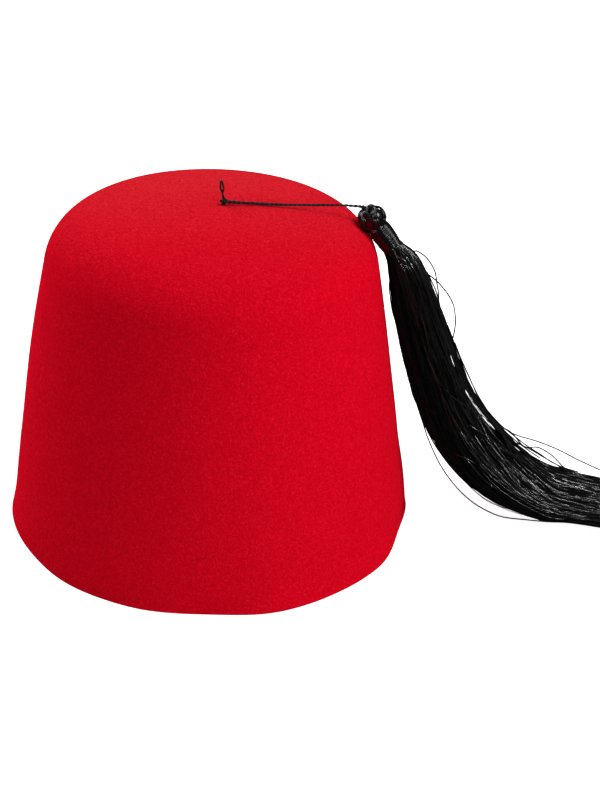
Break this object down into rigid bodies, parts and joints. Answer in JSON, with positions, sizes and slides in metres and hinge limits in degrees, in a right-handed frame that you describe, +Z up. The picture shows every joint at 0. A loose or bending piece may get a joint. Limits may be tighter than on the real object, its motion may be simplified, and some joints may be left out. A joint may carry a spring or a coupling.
{
  "type": "fez hat with tassel",
  "caption": "Tapered felt fez, hollow and open below, with a thread loop on top and a long tassel on a thin cord that hangs over one side onto the surface.",
  "frame": {"origin": "centre of the crown's rim, on the surface that the hat stands on", "axes": "+Z up through the middle of the top, -Y the front, +X the side that the tassel hangs on"},
  "size_m": [0.3131, 0.1883, 0.1676],
  "materials": {
    "felt": "matt red wool felt",
    "silk_thread": "satin black thread"
  },
  "bodies": {
    "root": {"crown": "felt", "stem_loop": "silk_thread", "tassel_cord": "silk_thread", "tassel_knot": "silk_thread", "neck_binding": "silk_thread", "tassel_skirt": "silk_thread"}
  },
  "joints": []
}
